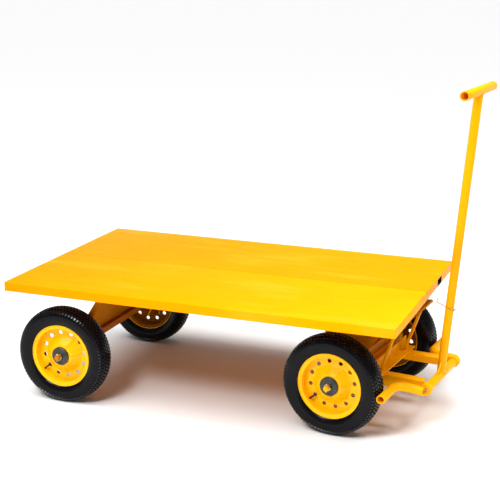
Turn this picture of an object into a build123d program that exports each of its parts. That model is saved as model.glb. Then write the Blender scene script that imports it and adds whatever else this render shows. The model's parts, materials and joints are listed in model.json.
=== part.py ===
from build123d import *
import os
from math import atan2, degrees, hypot, radians, tan

# Platform cart: +X forward, +Y across, +Z up, millimetres, standing on the floor at z = 0.

# deck
deck_length = 1626.0
deck_width = 981.0
deck_top = 509.0
skirt_depth = 37.0
sheet = 3.0
seam_gap = 2.0
deck_corner_r = 6.0
rail_height = 30.0
frame_wall = 3.0
side_rail_width = 40.0
spine_width = 60.0
cross_member_width = 40.0
cross_member_count = 6
socket_width = 76.0
socket_height = 30.0
socket_wall = 2.0
socket_length = 120.0
socket_y = 235.0

# wheels
tyre_r = 200.0
tyre_width = 98.0
tyre_shoulder_r = 190.0
tyre_shoulder_width = 80.0
tyre_tread_wall = 13.0
tyre_side_wall = 8.0
bead_width = 10.0
sidewall_facets = 4
crown_facets = 4
rim_flange_r = 131.0
rim_seat_r = 118.0
rim_width = 78.0
rim_wall = 3.0
rim_lip = 3.0
disc_wall = 4.0
disc_rim_z = 4.0
disc_hub_z = 34.0
disc_cone_outer_r = 78.0
disc_cone_inner_r = 46.0
disc_hole_count = 12
disc_hole_r = 8.5
disc_hole_circle_r = 92.0
disc_hole_clock = 9.0
rib_count = 8
rib_clock = 10.0
rib_width = 7.0
rib_rise = 5.0
hub_r = 30.0
hub_bore_r = 20.0
hub_flange_r = 44.0
hub_flange = 6.0
hub_inner_end = -45.0
hub_outer_end = 40.0
bearing_r = 23.5
bearing_width = 14.0
bearing_bore_r = 10.0
cap_r = 37.5
cap_wall = 2.0
cap_rise = 10.0
cap_bore_r = 11.5
valve_r = 4.0
valve_tip_r = 80.0
valve_root_r = 132.0
valve_z = 17.0
valve_clock = 219.0
inner_tube_wall = 2.0

# axles
shaft_clearance = 0.03
side_gap = 0.5
shoulder_gap = 4.0
nut_flats = 26.0
nut_height = 14.0
pin_r = 1.8
pin_length = 34.0
pin_margin = 4.0
spindle_tail = 8.0
rear_axle_x = -598.0
rear_half_track = 396.0
rear_bar = 25.0
front_half_track = 316.0
front_bar = 40.0

# rear axle support
rear_strut_y = 330.0
rear_strut_leg = 25.0
rear_strut_wall = 3.0
rear_strut_advance = 165.0
rear_strut_offset = -14.0

# turntable
kingpin_x = 564.0
rest_steer = -6.0
kingpin_r = 15.0
plate_r = 190.0
upper_plate = 10.0
lower_plate = 8.0
race_height = 8.0
race_gap = 6.0
race_r = 165.0
race_width = 30.0
ball_r = 7.0
ball_count = 24
groove_clearance = 0.4
boss_r = 32.0
boss_height = 18.0
king_nut_flats = 46.0
king_nut_height = 16.0

# bogie
head_half_length = 230.0
head_half_width = 165.0
head_bar_width = 36.0
head_bar = 12.0
bolster_half_length = 215.0
lower_bolster_width = 170.0
lower_bolster_height = 34.0
upper_bolster_width = 150.0
upper_bolster_height = 40.0
bolster_wall = 5.0
side_plate_y = 150.0
side_plate = 6.0
side_plate_top_width = 330.0
arm_outer_y = 160.0
arm_leg = 45.0
arm_wall = 5.0
cross_angle_x = 105.0
cross_angle_width = 45.0
cross_angle_wall = 5.0
cross_angle_half_length = 200.0
strut_y = 145.0
strut_bar = 12.0
strut_foot_x = 120.0
strut_slope = 0.34

# drawbar
pivot_x = 327.0
pivot_z = 185.5
handle_x = 423.5
handle_z = 1310.0
handle_length = 360.0
pipe_r = 16.85
handle_r = 17.5
pipe_wall = 3.2
pivot_shaft_r = 10.0
knuckle_r = 23.5
knuckle_width = 25.0
notch_gap = 4.0
gusset_reach = 62.0
gusset_height = 66.0
gusset_wall = 5.0
brake_reach = 375.0
brake_gap = 0.75
brake_bend_r = 44.0
brake_rise = 8.0

# retainer
hook_r = 2.0
hook_z = 475.0
hook_back = 47.0
hook_front = 20.0
hook_drop = 13.0
hook_tip = 18.0
hook_bend_r = 5.0
wire_r = 1.0
wire_route = [
    (0, 30, 478),
    (12, 30, 478),
    (22, 19, 468),
    (32, 1, 463),
    (41, -18, 465),
    (45, -35, 475),
]

# derived levels
skirt_bottom = deck_top - skirt_depth
sheet_under = deck_top - sheet
frame_bottom = sheet_under - rail_height
race_top = frame_bottom - upper_plate - race_height
ball_z = race_top - race_gap / 2
lower_plate_top = race_top - race_gap - race_height
head_top = lower_plate_top - lower_plate
head_bottom = head_top - head_bar
front_bar_top = tyre_r + front_bar / 2
lower_bolster_top = front_bar_top + lower_bolster_height
upper_bolster_top = lower_bolster_top + upper_bolster_height
arm_top = pivot_z + arm_leg / 2
cap_face = disc_hub_z + cap_rise
nut_start = cap_face + side_gap
pin_at = nut_start + nut_height + pin_margin
spindle_end = pin_at + spindle_tail
spindle_r = bearing_bore_r - shaft_clearance
barrel_r = rim_seat_r - rim_wall
seat_half = rim_width / 2 - rim_lip - rim_wall
half_length = deck_length / 2
half_width = deck_width / 2
lean = atan2(handle_x - pivot_x, handle_z - pivot_z)
brake_y = arm_outer_y + side_gap + knuckle_width + pipe_r


def block(x0, x1, y0, y1, z0, z1):
    size = Box(x1 - x0, y1 - y0, z1 - z0)
    return Pos((x0 + x1) / 2, (y0 + y1) / 2, (z0 + z1) / 2) * size


def bar_along_y(radius, y0, y1, x, z):
    return Pos(x, (y0 + y1) / 2, z) * Rot(90, 0, 0) * Cylinder(radius, y1 - y0)


def pipe_along_y(radius, wall, y0, y1, x, z):
    bore = bar_along_y(radius - wall, y0 - 1, y1 + 1, x, z)
    return bar_along_y(radius, y0, y1, x, z) - bore


def ring(outer_r, inner_r, z0, z1):
    mid = Pos(0, 0, (z0 + z1) / 2)
    return mid * Cylinder(outer_r, z1 - z0) - mid * Cylinder(inner_r, z1 - z0 + 2)


def turned(*points):
    return revolve(Plane.XZ * make_face(Polyline(*points, close=True)), Axis.Z)


def box_tube(half_x, half_y, z0, z1, wall):
    outer = block(-half_x, half_x, -half_y, half_y, z0, z1)
    hollow = block(-half_x + wall, half_x - wall, -half_y - 1, half_y + 1, z0 + wall, z1 - wall)
    return outer - hollow


def slab_in_xz(points, y0, y1):
    outline = Plane.XZ * make_face(Polyline(*points, close=True))
    return Pos(0, y0, 0) * extrude(outline, y1 - y0, dir=(0, 1, 0))


def leaning_angle(foot, head, leg, wall, y0, side):
    # an equal angle that leans forward, its ends cut level
    run = hypot(head[0] - foot[0], head[1] - foot[1])
    stretch = run / (head[1] - foot[1])
    y1 = y0 + side * leg
    y2 = y0 + side * wall
    web = [foot, (foot[0] + leg * stretch, foot[1]), (head[0] + leg * stretch, head[1]), head]
    flange = [foot, (foot[0] + wall * stretch, foot[1]), (head[0] + wall * stretch, head[1]), head]
    plate = slab_in_xz(web, min(y0, y2), max(y0, y2))
    return plate + slab_in_xz(flange, min(y0, y1), max(y0, y1))


def pipe_run(points, radius, bend_r, wall=0):
    path = FilletPolyline(*points, radius=bend_r)
    section = Circle(radius)
    if wall:
        section -= Circle(radius - wall)
    return sweep(Plane(origin=path @ 0, z_dir=path % 0) * section, path)


def both_sides(shape):
    return [shape, mirror(shape, Plane.XZ)]


# deck


def deck_panel(side):
    outer = block(-half_length, half_length, seam_gap / 2, half_width, skirt_bottom, deck_top)
    corners = outer.edges().filter_by(Axis.Z).group_by(Axis.Y)[-1]
    outer = fillet(corners, deck_corner_r)
    hollow = block(
        -half_length + sheet, half_length - sheet, -1, half_width - sheet, skirt_bottom - 1, sheet_under
    )
    panel = outer - hollow
    panel -= block(0, half_length + 1, *socket_span(), *socket_levels())
    if side < 0:
        panel = mirror(outer - hollow, Plane.XZ)
    return panel


def socket_span():
    return socket_y - socket_width / 2, socket_y + socket_width / 2


def socket_levels():
    top = sheet_under - sheet
    return top - socket_height, top


def stake_socket():
    y0, y1 = socket_span()
    z0, z1 = socket_levels()
    body = block(half_length - socket_length, half_length, y0, y1, z0, z1)
    wall = socket_wall
    return body - block(0, half_length + 1, y0 + wall, y1 - wall, z0 + wall, z1 - wall)


def deck_rails():
    edge = half_width - sheet
    ends = half_length - sheet
    half = spine_width / 2
    wall = frame_wall
    low, high = frame_bottom + wall, sheet_under - wall
    spine = block(-ends, ends, -half, half, frame_bottom, sheet_under)
    spine -= block(-ends - 1, ends + 1, -half + wall, half - wall, low, high)
    rail = block(-ends, ends, edge - side_rail_width, edge, frame_bottom, sheet_under)
    rail -= block(-ends - 1, ends + 1, edge - side_rail_width + wall, edge - wall, low, high)
    return both_sides(rail) + [spine]


def cross_members():
    inner = spine_width / 2
    outer = half_width - sheet - side_rail_width
    first = -half_length + sheet + cross_member_width / 2
    last = half_length - socket_length - cross_member_width / 2
    pitch = (last - first) / (cross_member_count - 1)
    half = cross_member_width / 2
    wall = frame_wall
    low, high = frame_bottom + wall, sheet_under - wall
    bars = []
    for place in range(cross_member_count):
        x = first + place * pitch
        bar = block(x - half, x + half, inner, outer, frame_bottom, sheet_under)
        bar -= block(x - half + wall, x + half - wall, inner - 1, outer + 1, low, high)
        bars += both_sides(bar)
    return bars


def upper_turntable():
    plate = ring(plate_r, kingpin_r, frame_bottom - upper_plate, frame_bottom)
    race = ring(race_r + race_width / 2, race_r - race_width / 2, race_top, frame_bottom - upper_plate)
    groove = Pos(0, 0, ball_z) * Torus(race_r, ball_r + groove_clearance)
    return Pos(kingpin_x, 0, 0) * (plate + race - groove)


def kingpin():
    bottom = head_top - boss_height - side_gap - king_nut_height
    return Pos(kingpin_x, 0, (bottom + frame_bottom) / 2) * Cylinder(kingpin_r, frame_bottom - bottom)


def king_nut():
    top = head_top - boss_height - side_gap
    hexagon = RegularPolygon(king_nut_flats / 2, 6, major_radius=False) - Circle(kingpin_r)
    return Pos(kingpin_x, 0, top - king_nut_height) * extrude(hexagon, king_nut_height)


def rear_strut_line():
    foot_x = rear_axle_x + rear_strut_offset
    return (foot_x, tyre_r + rear_bar / 2), (foot_x + rear_strut_advance, frame_bottom)


def rear_struts():
    foot, head = rear_strut_line()
    return both_sides(leaning_angle(foot, head, rear_strut_leg, rear_strut_wall, rear_strut_y, -1))


def rear_panel():
    foot, head = rear_strut_line()
    run = hypot(head[0] - foot[0], head[1] - foot[1]) / (head[1] - foot[1])
    step = rear_strut_wall * run
    points = [foot, (foot[0] + step, foot[1]), (head[0] + step, head[1]), head]
    half = rear_strut_y - rear_strut_leg
    return slab_in_xz(points, -half, half)


# axles and wheels


def axle(x, bar, half_track):
    shoulder = half_track + hub_inner_end - shoulder_gap
    tip = half_track + spindle_end
    half = bar / 2
    body = block(x - half, x + half, -shoulder, shoulder, tyre_r - half, tyre_r + half)
    body += bar_along_y(spindle_r, -tip, tip, x, tyre_r)
    for side in (-1, 1):
        body -= Pos(x, side * (half_track + pin_at), tyre_r) * Cylinder(pin_r, 4 * spindle_r)
    return body


def axle_nuts(x, half_track):
    hexagon = RegularPolygon(nut_flats / 2, 6, major_radius=False) - Circle(spindle_r)
    nut = extrude(Plane.XZ * hexagon, nut_height, dir=(0, 1, 0))
    return both_sides(Pos(x, half_track + nut_start, tyre_r) * nut)


def split_pins(x, half_track):
    return both_sides(Pos(x, half_track + pin_at, tyre_r) * Cylinder(pin_r, pin_length))


def chords(first, middle, last, count):
    # points along the arc through three points
    arc = ThreePointArc(first, middle, last)
    return [arc @ (step / count) for step in range(count + 1)]


def tyre():
    # the section of the carcass, from bead to bead
    bead = rim_seat_r
    half = seat_half
    wide = tyre_width / 2
    shoulder = tyre_shoulder_width / 2
    bulge_r = (rim_flange_r + tyre_shoulder_r) / 2
    inner_top = tyre_r - tyre_tread_wall
    toe = half - bead_width
    low = chords((rim_flange_r, -half), (bulge_r, -wide), (tyre_shoulder_r, -shoulder), sidewall_facets)
    crown = chords((tyre_shoulder_r, -shoulder), (tyre_r, 0), (tyre_shoulder_r, shoulder), crown_facets)
    high = chords((tyre_shoulder_r, shoulder), (bulge_r, wide), (rim_flange_r, half), sidewall_facets)
    outside = [(bead, -half)] + low + crown[1:] + high[1:] + [(bead, half), (bead, toe)]
    inner_bulge = wide - tyre_side_wall
    up = chords((bead, toe), (bulge_r, inner_bulge), (inner_top, shoulder / 2), sidewall_facets)
    down = chords((inner_top, -shoulder / 2), (bulge_r, -inner_bulge), (bead, -toe), sidewall_facets)
    return turned(*outside, *up[1:], *down)


def inner_tube():
    # the valve stem is moulded on and comes out through the rim
    centre_r = (rim_seat_r + tyre_r - tyre_tread_wall) / 2
    tall = (tyre_r - tyre_tread_wall - rim_seat_r) / 2 - 3
    wide = seat_half - 6
    outer = Ellipse(tall, wide)
    bladder = revolve(Plane.XZ * Pos(centre_r, 0) * outer, Axis.Z)
    bladder += valve_stem(valve_tip_r, valve_root_r)
    air = Ellipse(tall - inner_tube_wall, wide - inner_tube_wall)
    return bladder - revolve(Plane.XZ * Pos(centre_r, 0) * air, Axis.Z)


def rim():
    edge = rim_width / 2
    under = disc_rim_z - disc_wall
    barrel = barrel_section(edge, seat_half, seat_half + rim_wall, rim_flange_r - rim_wall)
    disc = turned(
        (hub_r, disc_hub_z - disc_wall), (disc_cone_inner_r, disc_hub_z - disc_wall),
        (disc_cone_outer_r, under), (barrel_r, under), (barrel_r, disc_rim_z),
        (disc_cone_outer_r, disc_rim_z), (disc_cone_inner_r, disc_hub_z), (hub_r, disc_hub_z),
    )
    for rib in PolarLocations(0, rib_count, start_angle=rib_clock):
        disc += rib * disc_rib()
    for hole in PolarLocations(disc_hole_circle_r, disc_hole_count, start_angle=disc_hole_clock):
        disc -= hole * Pos(0, 0, disc_rim_z) * Cylinder(disc_hole_r, 4 * disc_wall)
    return [barrel - valve_stem(barrel_r - 1, valve_root_r), disc - valve_stem(valve_tip_r, barrel_r)]


def barrel_section(edge, seat, web, lip_r):
    return turned(
        (barrel_r, -web), (lip_r, -web), (lip_r, -edge), (rim_flange_r, -edge),
        (rim_flange_r, -seat), (rim_seat_r, -seat), (rim_seat_r, seat), (rim_flange_r, seat),
        (rim_flange_r, edge), (lip_r, edge), (lip_r, web), (barrel_r, web),
    )


def disc_rib():
    # a ridge pressed into the cone, from the hub face down to the ring of holes
    half_sheet = disc_wall / 2
    knee = (disc_cone_outer_r + disc_cone_inner_r) / 2
    knee_z = (disc_rim_z + disc_hub_z) / 2
    points = [
        (disc_cone_inner_r, disc_hub_z - half_sheet), (disc_cone_outer_r, disc_rim_z - half_sheet),
        (disc_cone_outer_r + rib_rise, disc_rim_z - half_sheet), (disc_cone_outer_r + rib_rise, disc_rim_z),
        (knee + rib_rise, knee_z + rib_rise), (disc_cone_inner_r + rib_rise, disc_hub_z),
        (disc_cone_inner_r, disc_hub_z),
    ]
    return slab_in_xz(points, -rib_width / 2, rib_width / 2)


def valve_stem(r0, r1):
    stem = Rot(0, 90, 0) * Cylinder(valve_r, r1 - r0)
    return Rot(0, 0, valve_clock) * Pos((r0 + r1) / 2, 0, valve_z) * stem


def hub():
    flange_top = disc_hub_z - disc_wall
    body = ring(hub_r, hub_bore_r, hub_inner_end, hub_outer_end)
    body += ring(hub_flange_r, hub_bore_r, flange_top - hub_flange, flange_top)
    body -= ring(bearing_r, 1, hub_inner_end, hub_inner_end + bearing_width)
    return body - ring(bearing_r, 1, hub_outer_end - bearing_width, hub_outer_end)


def bearings():
    inner = ring(bearing_r, bearing_bore_r, hub_inner_end, hub_inner_end + bearing_width)
    outer = ring(bearing_r, bearing_bore_r, hub_outer_end - bearing_width, hub_outer_end)
    return [inner, outer]


def hub_cap():
    top = cap_face
    under = top - cap_wall
    skirt_r = cap_r - cap_wall
    shoulder = 3.0
    return turned(
        (cap_bore_r, under), (skirt_r - shoulder, under), (skirt_r, under - shoulder),
        (skirt_r, disc_hub_z), (cap_r, disc_hub_z), (cap_r, top - shoulder), (cap_r - shoulder, top),
        (cap_bore_r, top),
    )


def wheel():
    return {
        "tyre": [tyre()],
        "inner_tube": [inner_tube()],
        "rim": rim(),
        "hub": [hub()],
        "bearings": bearings(),
        "hub_cap": [hub_cap()],
    }


def seated(shape, x, half_track, side):
    turn = Rot(-90, 0, 0) if side > 0 else Rot(90, 0, 0)
    return Pos(x, side * half_track, tyre_r) * turn * shape


# steering bogie, in its own straight-ahead frame with the kingpin at x = 0


def lower_turntable():
    plate = ring(plate_r, kingpin_r + shaft_clearance, head_top, lower_plate_top)
    boss = ring(boss_r, kingpin_r + shaft_clearance, head_top - boss_height, head_top)
    race = ring(
        race_r + race_width / 2, race_r - race_width / 2, lower_plate_top, lower_plate_top + race_height
    )
    return plate + boss + race - Pos(0, 0, ball_z) * Torus(race_r, ball_r)


def balls():
    return [spot * Pos(0, 0, ball_z) * Sphere(ball_r) for spot in PolarLocations(race_r, ball_count)]


def head_frame():
    half_x = head_half_length
    half_y = head_half_width
    wide = head_bar_width
    bars = both_sides(block(-half_x, half_x, half_y - wide, half_y, head_bottom, head_top))
    for end in (-1, 1):
        edge = end * half_x
        span = sorted((edge, edge - end * wide))
        bars.append(block(*span, -half_y + wide, half_y - wide, head_bottom, head_top))
    return bars


def side_plates():
    foot = upper_bolster_width / 2
    head = side_plate_top_width / 2
    points = [(-foot, upper_bolster_top), (foot, upper_bolster_top), (head, head_bottom), (-head, head_bottom)]
    return both_sides(slab_in_xz(points, side_plate_y - side_plate, side_plate_y))


def lower_bolster():
    return box_tube(
        lower_bolster_width / 2, bolster_half_length, front_bar_top, lower_bolster_top, bolster_wall
    )


def upper_bolster():
    return box_tube(
        upper_bolster_width / 2, bolster_half_length, lower_bolster_top, upper_bolster_top, bolster_wall
    )


def drawbar_arm():
    back = front_bar / 2
    outer = arm_outer_y
    flange_end = pivot_x - handle_r - notch_gap
    bottom = pivot_z - arm_leg / 2
    arm = block(back, pivot_x, outer - arm_wall, outer, bottom, arm_top)
    arm += bar_along_y(arm_leg / 2, outer - arm_wall, outer, pivot_x, pivot_z)
    arm += block(back, flange_end, outer - arm_leg, outer, arm_top - arm_wall, arm_top)
    bore = bar_along_y(pivot_shaft_r + shaft_clearance, outer - arm_wall - 1, outer + 1, pivot_x, pivot_z)
    return arm - bore


def cross_angle():
    back = cross_angle_x
    half = cross_angle_half_length
    wall = cross_angle_wall
    flat = block(back, back + cross_angle_width, -half, half, arm_top, arm_top + wall)
    return flat + block(back, back + wall, -half, half, arm_top, arm_top + cross_angle_width)


def bogie_struts():
    foot_z = arm_top + cross_angle_wall
    foot = strut_foot_x
    head = foot + strut_slope * (head_bottom - foot_z)
    wide = strut_bar * hypot(1, strut_slope)
    points = [(foot, foot_z), (foot + wide, foot_z), (head + wide, head_bottom), (head, head_bottom)]
    return both_sides(slab_in_xz(points, strut_y - strut_bar, strut_y))


def bogie_nodes():
    arm = drawbar_arm()
    return {
        "turntable_lower_plate": [lower_turntable()],
        "turntable_balls": balls(),
        "bogie_head_frame": head_frame(),
        "bogie_side_plates": side_plates(),
        "bogie_lower_bolster": [lower_bolster()],
        "bogie_upper_bolster": [upper_bolster()],
        "front_axle": [axle(0, front_bar, front_half_track)],
        "front_axle_nuts": axle_nuts(0, front_half_track),
        "front_split_pins": split_pins(0, front_half_track),
        "drawbar_arm_far": [arm],
        "drawbar_arm_near": [mirror(arm, Plane.XZ)],
        "cross_angle": [cross_angle()],
        "bogie_struts": bogie_struts(),
    }


# drawbar, in the bogie's frame


def along_drawbar(z):
    return pivot_x + (z - pivot_z) * tan(lean)


def pivot_shaft():
    half = arm_outer_y + side_gap + knuckle_width
    return bar_along_y(pivot_shaft_r, -half, half, pivot_x, pivot_z)


def knuckles():
    start = arm_outer_y + side_gap
    collar = bar_along_y(knuckle_r, start, start + knuckle_width, pivot_x, pivot_z)
    bore = bar_along_y(pivot_shaft_r, start - 1, start + knuckle_width + 1, pivot_x, pivot_z)
    return both_sides(collar - bore)


def cross_tube():
    half = arm_outer_y - arm_wall - side_gap
    tube = bar_along_y(handle_r, -half, half, pivot_x, pivot_z)
    return tube - bar_along_y(pivot_shaft_r, -half - 1, half + 1, pivot_x, pivot_z)


def drawbar_tube():
    length = hypot(handle_x - pivot_x, handle_z - pivot_z)
    tilt = Pos(pivot_x, 0, pivot_z) * Rot(0, degrees(lean), 0)
    pipe = Pos(0, 0, length / 2) * (Cylinder(pipe_r, length) - Cylinder(pipe_r - pipe_wall, length + 2))
    tube = tilt * pipe
    tube -= bar_along_y(handle_r, -2 * pipe_r, 2 * pipe_r, pivot_x, pivot_z)
    return tube - bar_along_y(handle_r, -2 * pipe_r, 2 * pipe_r, handle_x, handle_z)


def handle_tube():
    half = handle_length / 2
    return pipe_along_y(handle_r, pipe_wall, -half, half, handle_x, handle_z)


def gussets():
    # triangles in the drawbar's own leaning plane, in the corners between it and the cross tube
    inner = pipe_r * 0.6
    flat = make_face(Polyline(
        (inner, pipe_r * 0.8), (gusset_reach, pipe_r * 0.8), (inner, gusset_height), close=True
    ))
    plate = extrude(Plane.YZ * flat, gusset_wall / 2, both=True)
    plate = Pos(pivot_x, 0, pivot_z) * Rot(0, degrees(lean), 0) * plate
    length = hypot(handle_x - pivot_x, handle_z - pivot_z)
    column = Pos(pivot_x, 0, pivot_z) * Rot(0, degrees(lean), 0) * Pos(0, 0, length / 2)
    plate -= column * Cylinder(pipe_r, length)
    plate -= bar_along_y(handle_r, 0, 2 * gusset_reach, pivot_x, pivot_z)
    return both_sides(plate)


def brake_tube():
    # an open-ended bent pipe that bears on the tread while the drawbar stands upright
    end_z = pivot_z + brake_rise
    stand_off = tyre_r + brake_gap + pipe_r
    back_x = (stand_off ** 2 - (end_z - tyre_r) ** 2) ** 0.5
    route = [(pivot_x, brake_y, pivot_z), (back_x, brake_y, end_z), (back_x, brake_reach, end_z)]
    return pipe_run(route, pipe_r, brake_bend_r, pipe_wall)


def retaining_hook():
    x = along_drawbar(hook_z)
    y = -pipe_r - hook_r
    back = x - hook_back
    high = hook_z + hook_drop
    low = hook_z - hook_drop
    route = [
        (back, y, high + hook_tip), (back, y, high), (x + hook_front, y, low),
        (x + hook_front, pipe_r / 2, low),
    ]
    return pipe_run(route, hook_r, hook_bend_r)


def drawbar_nodes():
    brake = brake_tube()
    return {
        "pivot_shaft": [pivot_shaft()],
        "pivot_knuckles": knuckles(),
        "cross_tube": [cross_tube()],
        "drawbar_tube": [drawbar_tube()],
        "handle_tube": [handle_tube()],
        "drawbar_gussets": gussets(),
        "brake_tube_far": [brake],
        "brake_tube_near": [mirror(brake, Plane.XZ)],
        "retaining_hook": [retaining_hook()],
    }


def wire_points():
    return [Vector(half_length + x, y, z) for x, y, z in wire_route]


def wire_radii(points):
    radii = []
    for before, corner, after in zip(points, points[1:], points[2:]):
        arriving = corner - before
        leaving = after - corner
        half_turn = radians(arriving.get_angle(leaving)) / 2
        radii.append(0.45 * min(arriving.length, leaving.length) / tan(half_turn))
    return radii


def tie_wire():
    points = wire_points()
    radii = wire_radii(points)
    print("tie wire bends", [round(radius, 1) for radius in radii])
    path = FilletPolyline(*points, radius=radii)
    wire = sweep(Plane(origin=path @ 0, z_dir=path % 0) * Circle(wire_r), path)
    print("tie wire length", round(path.length, 1))
    return wire


def deck_nodes():
    return {
        "deck_panel_near": [deck_panel(-1)],
        "deck_panel_far": [deck_panel(1)],
        "deck_rails": deck_rails(),
        "deck_cross_members": cross_members(),
        "stake_socket": [stake_socket()],
        "turntable_upper_plate": [upper_turntable()],
        "kingpin": [kingpin()],
        "kingpin_nut": [king_nut()],
        "rear_axle": [axle(rear_axle_x, rear_bar, rear_half_track)],
        "rear_axle_nuts": axle_nuts(rear_axle_x, rear_half_track),
        "rear_split_pins": split_pins(rear_axle_x, rear_half_track),
        "rear_axle_panel": [rear_panel()],
        "rear_struts": rear_struts(),
        "tie_wire": [tie_wire()],
    }


def assemble():
    to_deck = Pos(kingpin_x, 0, 0) * Rot(0, 0, rest_steer)
    nodes = deck_nodes()
    for name, shapes in {**bogie_nodes(), **drawbar_nodes()}.items():
        nodes[name] = [to_deck * shape for shape in shapes]
    pieces = wheel()
    for side, label in ((-1, "near"), (1, "far")):
        for name, shapes in pieces.items():
            front = [to_deck * seated(shape, 0, front_half_track, side) for shape in shapes]
            rear = [seated(shape, rear_axle_x, rear_half_track, side) for shape in shapes]
            nodes["front_" + label + "_" + name] = front
            nodes["rear_" + label + "_" + name] = rear
    return nodes


def row_offset(nodes):
    # the origin is under the middle of everything's box
    boxes = [shape.bounding_box() for shapes in nodes.values() for shape in shapes]
    return (min(box.min.X for box in boxes) + max(box.max.X for box in boxes)) / 2


nodes = assemble()
offset_x = row_offset(nodes)
os.makedirs("parts", exist_ok=True)
for name, shapes in nodes.items():
    moved = [Pos(-offset_x, 0, 0) * shape for shape in shapes]
    body = moved[0] if len(moved) == 1 else Compound(children=moved)
    export_step(body, os.path.join("parts", name + ".step"))
print("offset", round(offset_x, 4), "nodes", len(nodes))
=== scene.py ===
import json
import math

import bmesh
import bpy
from mathutils import Matrix, Vector


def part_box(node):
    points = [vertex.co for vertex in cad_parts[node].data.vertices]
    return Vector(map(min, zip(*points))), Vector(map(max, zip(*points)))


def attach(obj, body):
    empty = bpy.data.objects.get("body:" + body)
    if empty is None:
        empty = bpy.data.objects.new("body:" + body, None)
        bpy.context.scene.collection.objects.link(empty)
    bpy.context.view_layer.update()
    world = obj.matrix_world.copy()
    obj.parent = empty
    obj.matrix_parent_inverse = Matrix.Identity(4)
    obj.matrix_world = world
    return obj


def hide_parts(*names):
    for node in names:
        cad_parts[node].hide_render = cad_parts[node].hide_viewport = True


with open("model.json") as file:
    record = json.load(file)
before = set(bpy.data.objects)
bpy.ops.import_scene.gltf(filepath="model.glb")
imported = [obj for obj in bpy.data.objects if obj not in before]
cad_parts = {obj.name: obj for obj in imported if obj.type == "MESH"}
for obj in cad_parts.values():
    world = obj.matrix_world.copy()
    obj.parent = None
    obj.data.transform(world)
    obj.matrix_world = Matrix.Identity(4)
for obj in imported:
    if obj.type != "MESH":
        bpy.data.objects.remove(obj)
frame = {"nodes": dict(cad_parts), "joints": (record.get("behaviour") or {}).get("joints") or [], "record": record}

scene = bpy.context.scene
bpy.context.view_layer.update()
joints = {joint["name"]: joint for joint in frame["joints"]}
deckLow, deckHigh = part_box("deck_panel_near")
deckCentre = Vector(((deckLow.x + deckHigh.x) / 2, 0, 0))
up = Vector((0, 0, 1))

# the steered bogie's own axes: along is straight ahead for it, across is its axle
across = Vector(joints["drawbar_tilt"]["axis"]).normalized()
along = across.cross(up).normalized()
kingpin = Vector(joints["steer"]["pos_m"])
bogieTurn = Matrix((along, across, up)).transposed().to_4x4()
bogieSpace = Matrix.Translation((kingpin.x, kingpin.y, 0)) @ bogieTurn
bogieBack = bogieSpace.inverted()
pivot = bogieBack @ Vector(joints["drawbar_tilt"]["pos_m"])


def nodePoints(node, space=None):
    points = [vertex.co.copy() for vertex in frame["nodes"][node].data.vertices]
    return [space @ point for point in points] if space else points


def boxIn(node, space):
    points = nodePoints(node, space)
    low = Vector([min(p[k] for p in points) for k in range(3)])
    high = Vector([max(p[k] for p in points) for k in range(3)])
    return low, high


def newMaterial(name):
    material = bpy.data.materials.new(name)
    material.use_nodes = True
    tree = material.node_tree
    place = tree.nodes.new("ShaderNodeTexCoord")
    return material, tree, tree.nodes["Principled BSDF"], place.outputs["Object"]


def newNode(tree, kind, feeds=None, **settings):
    # feeds are links or plain values, by the input's name or number
    node = tree.nodes.new(kind)
    for name, value in settings.items():
        setattr(node, name, value)
    for key, value in (feeds or {}).items():
        socket = node.inputs[key]
        if isinstance(value, bpy.types.NodeSocket):
            tree.links.new(value, socket)
        elif socket.type == "RGBA":
            socket.default_value = (*value, 1.0)
        else:
            socket.default_value = value
    return node


def noise(tree, where, scale, detail=3.0, rough=0.5, stretch=None):
    if stretch:
        where = newNode(tree, "ShaderNodeMapping", {"Vector": where, "Scale": stretch}).outputs["Vector"]
    feeds = {"Vector": where, "Scale": scale, "Detail": detail, "Roughness": rough}
    return newNode(tree, "ShaderNodeTexNoise", feeds).outputs["Fac"]


def ramp(tree, value, stops):
    node = newNode(tree, "ShaderNodeValToRGB", {"Fac": value})
    elements = node.color_ramp.elements
    while len(elements) < len(stops):
        elements.new(0.5)
    for element, (place, colour) in zip(elements, stops):
        element.position = place
        element.color = (*colour, 1.0)
    return node.outputs["Color"]


def spread(tree, value, low, high, fromLow=0.3, fromHigh=0.7):
    feeds = {"Value": value, "From Min": fromLow, "From Max": fromHigh, "To Min": low, "To Max": high}
    return newNode(tree, "ShaderNodeMapRange", feeds).outputs["Result"]


def mixColour(tree, share, first, second):
    # the colour sockets of a mix node
    return newNode(tree, "ShaderNodeMix", {0: share, 6: first, 7: second}, data_type="RGBA").outputs[2]


def bump(tree, shader, height, strength, distance, before=None):
    feeds = {"Height": height, "Strength": strength, "Distance": distance}
    if before:
        feeds["Normal"] = before
    normal = newNode(tree, "ShaderNodeBump", feeds).outputs["Normal"]
    tree.links.new(normal, shader.inputs["Normal"])
    return normal


# the paints, rubbers and metals

enamel = {
    "cloudScale": 2.2,
    "peelScale": 420.0,
    "runScale": 26.0,
    "dustScale": 55.0,
    "dust": (0.62, 0.30, 0.02),
    "dustShare": 0.22,
    "shine": 0.22,
    "waviness": 0.10,
    "wavinessDepth": 0.0012,
    "peel": 0.08,
    "peelDepth": 0.0003,
}


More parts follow.
